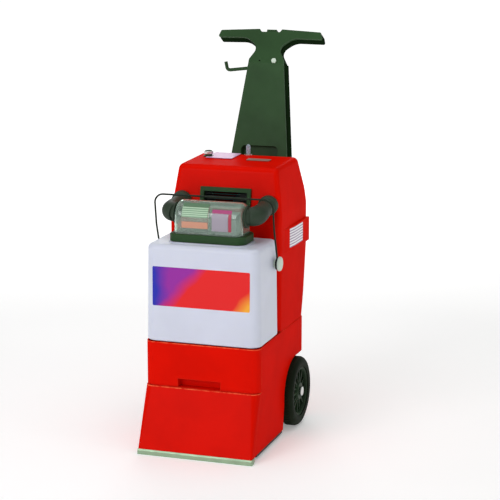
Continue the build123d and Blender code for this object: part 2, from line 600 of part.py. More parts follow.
# ---------------------------------------------------------------- vent and elbows
with BuildPart() as vent_frame:
    low_y, high_y = 218.5, 225.5
    lean_in = [(low_y - 5, VENT_Z[0]), (high_y - 5, VENT_Z[1]), (high_y + 4, VENT_Z[1]), (low_y + 4, VENT_Z[0])]
    across(lean_in, -VENT_X, VENT_X)
    block((-52.5, 52.5), (200, 240), (549.5, 575.5), Mode.SUBTRACT)
    add(motor_housing.part, mode=Mode.SUBTRACT)
    add(housing_solid(WALL, 8.0), mode=Mode.SUBTRACT)
save(vent_frame, "vent_frame")

with BuildPart() as vent_grille:
    block((-52.4, 52.4), (228, 231), (549.6, 575.4))
    for z in (553.5, 559.5, 565.5, 571.5):
        block((-48, 48), (225, 235), (z - 1.7, z + 1.7), Mode.SUBTRACT)
save(vent_grille, "vent_grille")


def rise(depth):
    """Height of an elbow's centre line, which climbs from the dome's port to the housing."""
    return PORT_Z + (depth - PORT_Y) * (CUFF_Z + 0.8 - PORT_Z) / (234 - PORT_Y)


# the housing's upper front is a plane that leans back between these two heights
front_lean = atan2(FRONT_SET_BACK, HOUSING_TOP - 3 - FRONT_KNEE)
front_plane = Plane(origin=(0, FRONT + HOUSING_FRONT, FRONT_KNEE), x_dir=(1, 0, 0),
                    z_dir=(0, -cos(front_lean), sin(front_lean)))

for name, sign in (("left", -1), ("right", 1)):
    with BuildPart() as elbow:
        flange_x = sign * (DOME_HALF + FLANGE_GAP)
        route = [(sign * CUFF_X, 234, rise(234)), (sign * CUFF_X, PORT_Y, PORT_Z), (flange_x, PORT_Y, PORT_Z)]
        hose(route, ELBOW_R, ELBOW_BEND)
        rod(25.5, (flange_x, PORT_Y, PORT_Z), (flange_x + sign * FLANGE_T, PORT_Y, PORT_Z))
        rod(23, (sign * CUFF_X, 203, rise(203)), (sign * CUFF_X, 234, rise(234)))
        hose(route, ELBOW_R - 3, ELBOW_BEND, Mode.SUBTRACT)
        split(bisect_by=front_plane, keep=Keep.TOP)
    save(elbow, f"elbow_{name}")

# ---------------------------------------------------------------- controls on the housing's top
SWITCH_Y = 385.0
TOGGLE_Z = 628.0             # height of the toggle's pivot
COUPLER_X = -86.0
COUPLER_Y = 345.0

with BuildPart() as switch_nut:
    rod(9.5, (0, SWITCH_Y, HOUSING_TOP - 2), (0, SWITCH_Y, HOUSING_TOP + 3.5))
    rod(6.2, (0, SWITCH_Y, HOUSING_TOP - 3), (0, SWITCH_Y, HOUSING_TOP + 4), Mode.SUBTRACT)
    add(motor_housing.part, mode=Mode.SUBTRACT)
save(switch_nut, "switch_nut")

with BuildPart() as power_switch:
    block((-12, 12), (SWITCH_Y - 12, SWITCH_Y + 12), (592, HOUSING_TOP - 14))
save(power_switch, "power_switch")

with BuildPart() as switch_toggle:
    rod(3.0, (0, SWITCH_Y, HOUSING_TOP - 13.4), (0, SWITCH_Y, 657))
    rod(3.8, (-4, SWITCH_Y, TOGGLE_Z), (4, SWITCH_Y, TOGGLE_Z))
save(switch_toggle, "switch_toggle")

with BuildPart() as toggle_boot:
    rod(5.0, (0, SWITCH_Y, HOUSING_TOP + 5), (0, SWITCH_Y, 658))
    with Locations((0, FRONT + SWITCH_Y, 658)):
        Sphere(5.0)
    rod(3.0, (0, SWITCH_Y, HOUSING_TOP), (0, SWITCH_Y, 657), Mode.SUBTRACT)
save(toggle_boot, "toggle_boot")

with BuildPart() as hose_coupler:
    rod(12, (COUPLER_X, COUPLER_Y, HOUSING_TOP - 1.5), (COUPLER_X, COUPLER_Y, HOUSING_TOP + 2))
    rod(8.5, (COUPLER_X, COUPLER_Y, HOUSING_TOP - 14), (COUPLER_X, COUPLER_Y, HOUSING_TOP + 14))
    rod(5, (COUPLER_X, COUPLER_Y, HOUSING_TOP), (COUPLER_X, COUPLER_Y, HOUSING_TOP + 16), Mode.SUBTRACT)
    add(motor_housing.part, mode=Mode.SUBTRACT)
save(hose_coupler, "hose_coupler")

with BuildPart() as coupler_collar:
    rod(11, (COUPLER_X, COUPLER_Y, HOUSING_TOP + 6), (COUPLER_X, COUPLER_Y, HOUSING_TOP + 13))
    fillet(coupler_collar.edges(), 1)
    rod(8.8, (COUPLER_X, COUPLER_Y, HOUSING_TOP), (COUPLER_X, COUPLER_Y, HOUSING_TOP + 16), Mode.SUBTRACT)
save(coupler_collar, "coupler_collar")

with BuildPart() as cord_inlet:
    rod(11, (-80, 399, 300), (-80, 416, 300))
    rod(7.9, (-80, 385, 300), (-80, 402, 300))
    rod(4.2, (-80, 380, 300), (-80, 420, 300), Mode.SUBTRACT)
    add(motor_housing.part, mode=Mode.SUBTRACT)
save(cord_inlet, "cord_inlet")

# ---------------------------------------------------------------- handle column
lean = radians(COLUMN_LEAN)
column_plane = Plane(origin=(0, FRONT + COLUMN_Y, COLUMN_Z), x_dir=(1, 0, 0), z_dir=(0, -cos(lean), sin(lean)))
bend = radians(HANDLE_LEAN)
handle_plane = Plane(origin=(0, FRONT + COLUMN_Y + SHOULDER * sin(lean), COLUMN_Z + SHOULDER * cos(lean)),
                     x_dir=(1, 0, 0), z_dir=(0, -cos(bend), sin(bend)))
COLUMN_FOOT = -152.0         # lower end of the column along its own length
SHOULDER_X = 44.7
PLATE_T = 4.0                # thickness of the front shell's face
SEAM = 14.0                  # depth at which the front shell meets the back shell
GROOVE = 2.0                 # depth of the groove round the front shell's sides
POCKET_UP = -12.0
BUTTON_FLOOR = 72.0          # floor of the trigger's recess, up the handle's face


def column_face(inset, top):
    """The column's outline seen square on, drawn up its own length."""
    low, high = 70 - inset, SHOULDER_X - inset
    high -= (top - SHOULDER) * (low - high) / SHOULDER
    with BuildSketch(column_plane) as outline:
        with BuildLine():
            Polyline((-low - 6, COLUMN_FOOT + inset), (-low, 0), (-high, top),
                     (high, top), (low, 0), (low + 6, COLUMN_FOOT + inset), close=True)
        make_face()
    return outline.sketch


def handle_face(inset):
    """Right and left arms and the neck under them, drawn up from the column's bend."""
    half = [(SHOULDER_X, -inset), (SHOULDER_X, 9), (31.6, 31), (31.6, 45), (58, 66.3), (BAR_HALF, 65.3),
            (127.5, 83.4), (28.5, 88.8), (23.5, 81.5)]
    rounds = [(44, 9, 12), (31, 31, 16), (31, 45, 18), (58, 66.3, 40), (133, 65.3, 3.5), (127.5, 83.4, 4.5)]
    with BuildSketch(handle_plane) as outline:
        with BuildLine():
            Polyline(*half, *[(-x, up) for x, up in reversed(half)], close=True)
        make_face()
        for x, up, radius in rounds:
            fillet(outline.vertices().filter_by(lambda v: abs(v.Y - up) < 0.5 and abs(abs(v.X) - x) < 1), radius)
        if inset:
            offset(amount=-inset, kind=Kind.INTERSECTION)
    return outline.sketch


def set_back(plane, face, start, end, mode=Mode.ADD):
    """Extrude a face drawn on a plane from one depth behind it to another."""
    extrude(face.moved(Location(plane.z_dir * -start)), amount=end - start, dir=plane.z_dir * -1, mode=mode)


def handle_block(x, up, deep, mode=Mode.ADD):
    """A box in the handle's own frame, from (low, high) pairs across, up the face and behind it."""
    with BuildSketch(handle_plane.offset(-deep[0])) as end:
        with Locations(((x[0] + x[1]) / 2, (up[0] + up[1]) / 2)):
            Rectangle(x[1] - x[0], up[1] - up[0])
    extrude(end.sketch, amount=deep[0] - deep[1], mode=mode)


with BuildPart() as trigger_core:
    handle_block((-17, 17), (64, 81.5), (0, HANDLE_DEEP))

with BuildPart() as column_front:
    set_back(column_plane, column_face(0, SHOULDER), 0, PLATE_T)
    set_back(handle_plane, handle_face(0), 0, PLATE_T)
    set_back(column_plane, column_face(GROOVE, SHOULDER), PLATE_T, SEAM)
    set_back(handle_plane, handle_face(GROOVE), PLATE_T, SEAM)
    with BuildPart(mode=Mode.PRIVATE) as hollow:
        set_back(column_plane, column_face(GROOVE + WALL, SHOULDER + 4), WALL, SEAM + 1)
        set_back(handle_plane, handle_face(GROOVE + WALL), WALL, SEAM + 1)
        add(trigger_core.part, mode=Mode.SUBTRACT)
    add(hollow.part, mode=Mode.SUBTRACT)
    pockets = ((100.0, 66.0, 14.0, -WALL + 1, 20.0, Mode.ADD),
               (93.4, 60.0, 11.0, 1.0, 18.0, Mode.SUBTRACT))
    for wide, tall, corner, start, deep, mode in pockets:
        with BuildSketch(column_plane.offset(start)) as pocket:
            with Locations((0, POCKET_UP)):
                RectangleRounded(wide, tall, corner)
        extrude(pocket.sketch, amount=-deep, mode=mode)
    handle_block((-12.4, 12.4), (BUTTON_FLOOR, 90), (6, 26), Mode.SUBTRACT)
    handle_block((-8.5, 8.5), (BUTTON_FLOOR - 4, BUTTON_FLOOR + 1), (7.5, 24.5), Mode.SUBTRACT)
    with BuildSketch(handle_plane.offset(1)) as screw_hole:
        with Locations((-17, 5.6)):
            Circle(2.0)
    extrude(screw_hole.sketch, amount=-PLATE_T - 2, mode=Mode.SUBTRACT)
save(column_front, "column_front")

HOOK_ROOT = (-46.0, 556.0, 826.7)
HOOK_END = (-118.0, 556.0, 818.0)

with BuildPart() as column_back:
    set_back(column_plane, column_face(0, SHOULDER), SEAM, COLUMN_DEEP)
    back_face = column_back.faces().filter_by(column_plane).sort_by(Axis.Y)[-1]
    fillet(back_face.edges(), 8)
    set_back(handle_plane, handle_face(0), SEAM, HANDLE_DEEP)
    boss_end = (HOOK_ROOT[0] - 11, HOOK_ROOT[1], HOOK_ROOT[2] - 1.3)
    rod(8, HOOK_ROOT, boss_end)
    with BuildPart(mode=Mode.PRIVATE) as hollow:
        set_back(column_plane, column_face(WALL, SHOULDER - WALL), SEAM - 1, COLUMN_DEEP - WALL)
        set_back(handle_plane, handle_face(WALL), SEAM - 1, HANDLE_DEEP - WALL)
        add(trigger_core.part, mode=Mode.SUBTRACT)
    add(hollow.part, mode=Mode.SUBTRACT)
    handle_block((-12.4, 12.4), (BUTTON_FLOOR, 90), (6, 26), Mode.SUBTRACT)
    handle_block((-8.5, 8.5), (BUTTON_FLOOR - 4, BUTTON_FLOOR + 1), (7.5, 24.5), Mode.SUBTRACT)
    rod(4.5 + RUNNING, HOOK_ROOT, HOOK_END, Mode.SUBTRACT)
    add(column_front.part, mode=Mode.SUBTRACT)
save(column_back, "column_back")

with BuildPart() as column_foot:
    across([(426, 420), (440, 420), (476, 478), (430.3, 478), (426, 470)], -72, 72)
    add(column_back.part, mode=Mode.SUBTRACT)
    add(column_front.part, mode=Mode.SUBTRACT)
    set_back(column_plane, column_face(0, SHOULDER), 0, COLUMN_DEEP, Mode.SUBTRACT)
    add(housing_solid(0.0, 11.0), mode=Mode.SUBTRACT)
save(column_foot, "column_foot")

with BuildPart() as trigger_button:
    handle_block((-12, 12), (BUTTON_FLOOR + 5, 91), (6.5, 25.5))
    handle_block((-4, 4), (BUTTON_FLOOR + 3.5, BUTTON_FLOOR + 6), (12, 20))
    fillet(trigger_button.edges().group_by(Axis.Z)[-1], 2)
save(trigger_button, "trigger_button")

with BuildPart() as trigger_switch:
    handle_block((-8, 8), (BUTTON_FLOOR - 4, BUTTON_FLOOR - 1), (8, 24))
save(trigger_switch, "trigger_switch")

# ---------------------------------------------------------------- column fittings
with BuildPart() as neck_cap:
    with BuildSketch(handle_plane) as hexagon:
        with Locations((20, 5.5)):
            RegularPolygon(6.5, 6)
    extrude(hexagon.sketch, amount=4)
save(neck_cap, "neck_cap")

with BuildPart() as cord_hook:
    rod(4.5, (HOOK_ROOT[0] - 4, HOOK_ROOT[1], HOOK_ROOT[2] - 0.5), HOOK_END)
    rod(4.5, (-114, HOOK_ROOT[1], 818.5), (-118, HOOK_ROOT[1] + 2, 838))
save(cord_hook, "cord_hook")

with BuildPart() as screws:
    for x in (-106, 106):
        for z in (275, 400):
            back = BASE_BACK + (z - SPLIT_Z) * 0.245
            rod(SCREW_R, (x, back - 2, z), (x, back + 2.5, z))
    add(housing_solid(0.0, 11.0), mode=Mode.SUBTRACT)
    for x in (-95, 95):
        for y in (135, 222, 262, 372):
            under = 6 if y < 236 else BASE_Z
            rod(SCREW_R, (x, y, under - 1.6), (x, y, under))
    for x in (-48, 48):
        rod(6, (x, 446, 442), (x, 459, 434))
    add(column_foot.part, mode=Mode.SUBTRACT)
save(screws, "screws")

with BuildPart() as exhaust_grille:
    across([(405, 348), (417.5, 402), (420.5, 402), (408, 348)], -74, 74)
    for z in range(356, 400, 8):
        block((-66, 66), (395, 430), (z - 2, z + 2), Mode.SUBTRACT)
    add(motor_housing.part, mode=Mode.SUBTRACT)
save(exhaust_grille, "exhaust_grille")
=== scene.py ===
import json
import math
import random

import bmesh
import bpy
from mathutils import Matrix, Vector


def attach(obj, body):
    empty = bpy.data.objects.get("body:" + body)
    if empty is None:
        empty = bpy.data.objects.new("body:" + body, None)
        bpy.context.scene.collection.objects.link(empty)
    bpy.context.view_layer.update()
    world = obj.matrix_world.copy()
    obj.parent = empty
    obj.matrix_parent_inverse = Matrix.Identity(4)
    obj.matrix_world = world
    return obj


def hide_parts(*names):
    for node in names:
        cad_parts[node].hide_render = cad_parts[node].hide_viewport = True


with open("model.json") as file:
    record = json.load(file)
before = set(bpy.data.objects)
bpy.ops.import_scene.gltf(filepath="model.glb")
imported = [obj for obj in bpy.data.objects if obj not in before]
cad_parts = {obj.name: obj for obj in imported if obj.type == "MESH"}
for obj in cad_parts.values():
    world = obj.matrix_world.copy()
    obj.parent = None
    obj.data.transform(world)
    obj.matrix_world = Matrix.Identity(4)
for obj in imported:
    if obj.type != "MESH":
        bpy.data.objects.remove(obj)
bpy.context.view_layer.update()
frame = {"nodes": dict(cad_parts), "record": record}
NODES = frame["nodes"]
MM = 0.001


# ---------------------------------------------------------------- stage
CAMERA_AT = (1.2888, -3.7506, 1.2561)
CAMERA_AIM = (0.0780, -0.1308, 0.4552)
CAMERA_LENS = 123.8


def make_camera():
    data = bpy.data.cameras.new("camera")
    data.lens = CAMERA_LENS
    data.sensor_width = 36.0
    camera = bpy.data.objects.new("camera", data)
    camera.location = CAMERA_AT
    camera.rotation_mode = "QUATERNION"
    camera.rotation_quaternion = (Vector(CAMERA_AIM) - Vector(CAMERA_AT)).to_track_quat("-Z", "Y")
    bpy.context.scene.collection.objects.link(camera)
    bpy.context.scene.camera = camera


def area_light(name, at, aim, size, power, colour):
    data = bpy.data.lights.new(name, "AREA")
    data.shape = "RECTANGLE"
    data.size, data.size_y = size
    data.energy = power
    data.color = colour
    light = bpy.data.objects.new(name, data)
    light.location = at
    light.rotation_mode = "QUATERNION"
    light.rotation_quaternion = (Vector(aim) - Vector(at)).to_track_quat("-Z", "Y")
    bpy.context.scene.collection.objects.link(light)


def make_lights():
    middle = (0.0, 0.0, 0.45)
    area_light("key", (-1.2, -3.4, 1.9), middle, (1.8, 1.8), 44.0, (0.97, 0.97, 1.0))
    area_light("top", (0.2, -0.2, 3.2), middle, (2.4, 2.4), 26.0, (1.0, 1.0, 0.98))
    area_light("right", (3.4, -0.9, 1.2), middle, (1.2, 1.8), 8.0, (0.92, 1.0, 0.88))
    area_light("back", (-1.0, 3.2, 2.0), middle, (2.0, 2.0), 30.0, (1.0, 1.0, 1.0))
    world = bpy.data.worlds.new("studio")
    world.use_nodes = True
    tree = world.node_tree
    room = tree.nodes["Background"]
    room.inputs["Color"].default_value = (1.0, 1.0, 1.0, 1.0)
    room.inputs["Strength"].default_value = 0.36
    paper = tree.nodes.new("ShaderNodeBackground")
    paper.inputs["Color"].default_value = (1.0, 1.0, 1.0, 1.0)
    paper.inputs["Strength"].default_value = 1.0
    seen = tree.nodes.new("ShaderNodeLightPath")
    choose = tree.nodes.new("ShaderNodeMixShader")
    tree.links.new(seen.outputs["Is Camera Ray"], choose.inputs["Fac"])
    tree.links.new(room.outputs["Background"], choose.inputs[1])
    tree.links.new(paper.outputs["Background"], choose.inputs[2])
    tree.links.new(choose.outputs["Shader"], tree.nodes["World Output"].inputs["Surface"])
    bpy.context.scene.world = world
    bpy.context.scene.view_settings.view_transform = "Standard"


# ---------------------------------------------------------------- material nodes
class Surface:
    """A material whose nodes work in object coordinates, which are the part's own metres."""

    def __init__(self, name):
        self.material = bpy.data.materials.new(name)
        self.material.use_nodes = True
        self.tree = self.material.node_tree
        self.shader = self.tree.nodes["Principled BSDF"]
        self.place = self.tree.nodes.new("ShaderNodeTexCoord").outputs["Object"]

    def node(self, kind, inputs=(), **settings):
        made = self.tree.nodes.new("ShaderNode" + kind)
        for key, value in settings.items():
            setattr(made, key, value)
        for key, value in dict(inputs).items():
            self.feed(made.inputs[key], value)
        return made

    def feed(self, socket, value):
        if isinstance(value, bpy.types.NodeSocket):
            self.tree.links.new(value, socket)
        else:
            socket.default_value = value

    def set(self, **values):
        """Principled inputs by name, with underscores for spaces."""
        for key, value in values.items():
            self.feed(self.shader.inputs[key.replace("_", " ")], value)

    def noise(self, scale, detail=2.0, roughness=0.5, stretch=(1.0, 1.0, 1.0)):
        place = self.node("Mapping", {"Vector": self.place, "Scale": stretch}).outputs[0]
        return self.node("TexNoise", {"Vector": place, "Scale": scale, "Detail": detail,
                                      "Roughness": roughness}).outputs["Fac"]

    def ramp(self, value, low, high, to_low=0.0, to_high=1.0):
        return self.node("MapRange", {"Value": value, "From Min": low, "From Max": high,
                                      "To Min": to_low, "To Max": to_high}).outputs["Result"]

    def math(self, operation, a, b=0.0):
        made = self.node("Math", operation=operation, use_clamp=operation == "MULTIPLY")
        self.feed(made.inputs[0], a)
        self.feed(made.inputs[1], b)
        return made.outputs[0]

    def mix(self, factor, first, second):
        made = self.node("Mix", data_type="RGBA")
        self.feed(made.inputs["Factor"], factor)
        self.feed(made.inputs["A"], first)
        self.feed(made.inputs["B"], second)
        return made.outputs["Result"]

    def axis(self, name):
        return self.node("SeparateXYZ", {"Vector": self.place}).outputs[name]

    def edge_normal(self, radius):
        return self.node("Bevel", {"Radius": radius}, samples=4).outputs["Normal"]

    def edges(self, rounded):
        """1 on sharp edges and 0 on flat faces."""
        true = self.node("NewGeometry").outputs["True Normal"]
        turn = self.node("VectorMath", operation="DOT_PRODUCT")
        self.feed(turn.inputs[0], rounded)
        self.feed(turn.inputs[1], true)
        return self.ramp(turn.outputs["Value"], 0.985, 0.80)

    def relief(self, height, distance, normal=None):
        inputs = {"Height": height, "Distance": distance, "Strength": 1.0}
        if normal is not None:
            inputs["Normal"] = normal
        self.set(Normal=self.node("Bump", inputs).outputs["Normal"])


def shade(colour, by):
    return tuple(min(1.0, c * by) for c in colour[:3]) + (1.0,)


def moulded(name, colour, roughness=0.42, grain=1500.0, depth=0.00005, mottle=0.05, edge_paling=0.35,
            pale=None, rounding=0.0010, highlight_heights=(), **fixed):
    """Moulded plastic or rubber: faint patches, fine grain, soft paler edges that are partly wear and partly
    painted highlight.

    The listed heights, in metres, get a thin broken painted highlight across the front.
    """
    s = Surface(name)
    broad = s.noise(11.0, 3.0)
    smear = s.noise(70.0, 6.0, 0.65)
    fine = s.noise(grain, 3.0)
    base = s.mix(s.ramp(broad, 0.35, 0.65), shade(colour, 1 - mottle), shade(colour, 1 + mottle))
    rounded = s.edge_normal(rounding)
    # Edges turn paler: wear on most parts, painted highlight on the red shell.
    wear_and_highlight = s.math("MULTIPLY", s.math("MULTIPLY", s.edges(rounded), s.ramp(smear, 0.35, 0.7)), edge_paling)
    # Painted highlight: a thin broken pale line across the front at each listed height.
    for height in highlight_heights:
        away = s.math("ABSOLUTE", s.math("SUBTRACT", s.axis("Z"), height))
        near = s.math("MULTIPLY", s.ramp(away, 0.0013, 0.0004), s.ramp(s.axis("Y"), -0.215, -0.225))
        wear_and_highlight = s.math("MAXIMUM", wear_and_highlight, s.math("MULTIPLY", near, s.ramp(smear, 0.38, 0.60)))
    s.set(Base_Color=s.mix(wear_and_highlight, base, pale or shade([c + 0.25 for c in colour[:3]], 1.0)))
    s.set(Roughness=s.ramp(smear, 0.25, 0.75, roughness - 0.05, roughness + 0.07))
    s.relief(fine, depth, rounded)
    s.set(**fixed)
    return s.material


def metal(name, colour, roughness=0.35, brush=(1.0, 1.0, 1.0), scratch=900.0, depth=0.00003):
    """Brushed or plated metal: streaks along the axis with the smallest stretch."""
    s = Surface(name)
    streak = s.noise(scratch, 4.0, 0.6, brush)
    cloud = s.noise(35.0, 4.0)
    s.set(Base_Color=s.mix(s.ramp(cloud, 0.3, 0.7), shade(colour, 0.86), shade(colour, 1.06)))
    s.set(Roughness=s.ramp(streak, 0.3, 0.7, roughness - 0.08, roughness + 0.12))
    s.relief(streak, depth, s.edge_normal(0.0006))
    s.set(Metallic=1.0)
    return s.material


def clear(name, tint, roughness=0.06, weight=1.0, ior=1.46):
    """Clear moulded plastic with a faint haze and hairline scratches."""
    s = Surface(name)
    haze = s.noise(40.0, 5.0, 0.6)
    hair = s.noise(600.0, 2.0, 0.5, (1.0, 0.08, 0.08))
    s.set(Base_Color=s.mix(s.ramp(haze, 0.3, 0.7), shade(tint, 0.97), shade(tint, 1.0)))
    s.set(Roughness=s.ramp(haze, 0.3, 0.8, roughness, roughness + 0.08))
    s.relief(hair, 0.00001)
    s.set(Transmission_Weight=weight, IOR=ior)
    return s.material


def make_materials():
    red = (0.73, 0.005, 0.0004)
    green = (0.024, 0.066, 0.021)
    return {
        # The red shell's bright orange edges and its thin pale lines at 149.6 and 252.0 mm are painted
        # highlight.
        "red_shell": moulded("red_shell", red, 0.42, 1300.0, 0.00005, 0.05, 0.45,
                             pale=(1.0, 0.16, 0.06, 1.0), rounding=0.0022, highlight_heights=(0.1496, 0.2520),
                             Specular_IOR_Level=0.0, Coat_Weight=0.05, Coat_Roughness=0.3),
        "dark_plastic": moulded("dark_plastic", green, 0.50, 1500.0, 0.00007, 0.12, 0.5,
                                pale=(0.06, 0.10, 0.055, 1.0), Specular_IOR_Level=0.15),
        # A darker copy of dark_plastic: painted shade for the column's back shell.
        "column_painted_shade": moulded("column_painted_shade", (0.007, 0.017, 0.006), 0.5, 1500.0, 0.00007, 0.12, 0.3,
                               pale=(0.04, 0.07, 0.035, 1.0), Specular_IOR_Level=0.0),
        "black_plastic": moulded("black_plastic", (0.014, 0.016, 0.015), 0.5, 1400.0, 0.00006, 0.1, 0.4,
                                 pale=(0.05, 0.055, 0.05, 1.0), Specular_IOR_Level=0.2),
        "tank_white": moulded("tank_white", (0.66, 0.69, 0.80), 0.40, 900.0, 0.00004, 0.025, 0.2,
                              pale=(0.80, 0.82, 0.84, 1.0), rounding=0.002, Subsurface_Weight=0.35,
                              Subsurface_Radius=(0.012, 0.012, 0.016)),
        "button_white": moulded("button_white", (0.60, 0.70, 0.60), 0.42, 1200.0, 0.00004, 0.04, 0.2,
                                Subsurface_Weight=0.2, Subsurface_Radius=(0.004, 0.004, 0.004)),
        "clear_plastic": clear("clear_plastic", (0.74, 0.95, 0.82), weight=0.86),
        "boot_clear": clear("boot_clear", (0.55, 0.66, 0.78), 0.25, 0.6),
        "screen_mesh": moulded("screen_mesh", (0.40, 0.33, 0.39), 0.5, 1500.0, 0.00015, 0.1, 0.2),
        "dark_rubber": moulded("dark_rubber", (0.022, 0.040, 0.022), 0.55, 1100.0, 0.00010, 0.15, 0.5,
                               pale=(0.08, 0.11, 0.075, 1.0), Specular_IOR_Level=0.3),
        "tyre": moulded("tyre", (0.007, 0.013, 0.005), 0.62, 800.0, 0.00020, 0.2, 0.4,
                        pale=(0.03, 0.04, 0.028, 1.0), Specular_IOR_Level=0.08),
        "lip_metal": metal("lip_metal", (0.36, 0.50, 0.34), 0.48, (0.03, 1.0, 1.0)),
        "hub_plastic": moulded("hub_plastic", (0.013, 0.032, 0.012), 0.45, 700.0, 0.00015, 0.3, 0.7,
                               pale=(0.20, 0.30, 0.18, 1.0), Specular_IOR_Level=0.15),
        "steel": metal("steel", (0.55, 0.55, 0.54), 0.35, (0.05, 1.0, 1.0)),
        "zinc": metal("zinc", (0.72, 0.74, 0.72), 0.25),
        "wire_black": moulded("wire_black", (0.010, 0.018, 0.010), 0.45, 1500.0, 0.00004, 0.1, 0.2,
                              pale=(0.06, 0.08, 0.06, 1.0), rounding=0.0004, Specular_IOR_Level=0.15),
        "bristle": moulded("bristle", (0.04, 0.10, 0.32), 0.45, 1500.0, 0.00005),
        "hose_plastic": moulded("hose_plastic", (0.08, 0.085, 0.08), 0.5),
        "motor_metal": metal("motor_metal", (0.45, 0.46, 0.47), 0.45),
    }


def dress(piece, material):
    piece.data.materials.clear()
    piece.data.materials.append(material)


make_camera()
make_lights()
MATERIALS = make_materials()
for part in frame["record"]["subparts"]:
    dress(NODES[part["node"]], MATERIALS[part["material_slot"]])
# The column's back shell gets the darker copy of its plastic: painted shade.
dress(NODES["column_back"], MATERIALS["column_painted_shade"])


# ---------------------------------------------------------------- building pieces
FRONT = -0.295               # the nozzle lip's front edge; depths below are measured back from it
CORNER_STEPS = 7             # straight pieces in a rounded corner
RIM_STEPS = 2                # rings round a plate's rim
RIM_FLAT = 0.6               # width of a plate's flat ring inside its rim
BOX_SIDES = ((0, 1, 3, 2), (4, 5, 7, 6), (0, 1, 5, 4), (2, 3, 7, 6), (0, 2, 6, 4), (1, 3, 7, 5))


def at(x, depth, z):
    """A point from millimetres, with depth measured back from the nozzle lip."""
    return Vector((x * MM, FRONT + depth * MM, z * MM))


def finish_piece(name, bm, body, material, replaced=(), angle=32.0):
    """Turn a bmesh into a piece with soft faces and sharp edges above the angle."""
    bmesh.ops.recalc_face_normals(bm, faces=bm.faces)
    for face in bm.faces:
        face.smooth = True
    for edge in bm.edges:
        edge.smooth = len(edge.link_faces) == 2 and edge.calc_face_angle(0.0) < math.radians(angle)
    mesh = bpy.data.meshes.new(name)
    bm.to_mesh(mesh)
    bm.free()
    piece = bpy.data.objects.new(name, mesh)
    bpy.context.scene.collection.objects.link(piece)
    piece.data.materials.append(material)
    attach(piece, body)
    if replaced:
        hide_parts(*replaced)


def skin(bm, rings, caps=True):
    """Join rings of points with faces; cap the first and last ring."""
    made = [[bm.verts.new(point) for point in ring] for ring in rings]
    for low, high in zip(made, made[1:]):
        count = len(low)
        for i in range(count):
            j = (i + 1) % count
            bm.faces.new((low[i], low[j], high[j], high[i]))
    if caps:
        bm.faces.new(made[0][::-1])
        bm.faces.new(made[-1])


def inset_outline(points, distance):
    """Move a closed counter-clockwise outline inwards along its corner bisectors."""
    moved = []
    count = len(points)
    for i in range(count):
        before, here, after = (Vector(points[k % count]) for k in (i - 1, i, i + 1))
        first, second = (here - before).normalized(), (after - here).normalized()
        normal = Vector((-first.y - second.y, first.x + second.x))
        if normal.length < 1e-6:
            normal = Vector((-first.y, first.x))
        normal.normalize()
        spread = max(0.35, normal.dot(Vector((-first.y, first.x))))
        moved.append(here + normal * (distance / spread))
    return moved


def slab(bm, plane, outline, front, back, rounding):
    """A plate with rounded rims. plane(x, up, deep) gives its points and outline is in millimetres."""
    turns = [math.pi / 2 * k / RIM_STEPS for k in range(RIM_STEPS + 1)]
    rings = [(rounding * (1 - math.sin(t)), front + rounding * (1 - math.cos(t))) for t in turns]
    rings += [(rounding * (1 - math.cos(t)), back - rounding * (1 - math.sin(t))) for t in turns]
    rings = [(rounding + RIM_FLAT, front)] + rings + [(rounding + RIM_FLAT, back)]
    loops = [[plane(p.x, p.y, deep) for p in inset_outline(outline, inset)] for inset, deep in rings]
    skin(bm, loops)


def arc_corner(before, corner, after, radius):
    """Points that round a corner of an outline."""
    before, corner, after = Vector(before), Vector(corner), Vector(after)
    first, second = (before - corner).normalized(), (after - corner).normalized()
    half = first.angle(second) / 2
    reach = radius / math.tan(half)
    centre = corner + (first + second).normalized() * (radius / math.sin(half))
    start, end = corner + first * reach - centre, corner + second * reach - centre
    sweep = start.angle_signed(end)
    return [centre + Matrix.Rotation(-sweep * k / CORNER_STEPS, 2) @ start for k in range(CORNER_STEPS + 1)]


def rounded(points):
    """An outline from (x, y, radius) corners."""
    outline = []
    count = len(points)
    for i in range(count):
        before, here, after = (points[k % count] for k in (i - 1, i, i + 1))
        outline += arc_corner(before[:2], here[:2], after[:2], here[2])
    return outline


def tube(bm, points, radii, sides):
    """A round skin along points, one radius for each."""
    rings = []
    across = None
    for i, point in enumerate(points):
        ahead = points[min(i + 1, len(points) - 1)] - points[max(i - 1, 0)]
        ahead.normalize()
        if across is None:
            across = ahead.orthogonal().normalized()
        across = (across - ahead * across.dot(ahead)).normalized()
        up = ahead.cross(across)
        turns = [2 * math.pi * k / sides for k in range(sides)]
        rings.append([point + (across * math.cos(t) + up * math.sin(t)) * radii[i] for t in turns])
    skin(bm, rings)


def lathe(bm, plane, profile, sides):
    """Turn (radius, deep) points about a plane's origin; the profile is closed."""
    rings = [[plane(r * math.cos(t), r * math.sin(t), deep) for t in
              (2 * math.pi * k / sides for k in range(sides))] for r, deep in profile]
    skin(bm, rings + [rings[0]], caps=False)
    bmesh.ops.remove_doubles(bm, verts=bm.verts, dist=1e-6)


# ---------------------------------------------------------------- recovery tank label
TANK_FRONT, TANK_FOOT = 52.0, 254.4
TANK_LEAN = math.radians(0.8)


def panel(left, right, low, high):
    """A rectangle's outline with 3 mm corners."""
    return rounded([(left, low, 3), (right, low, 3), (right, high, 3), (left, high, 3)])


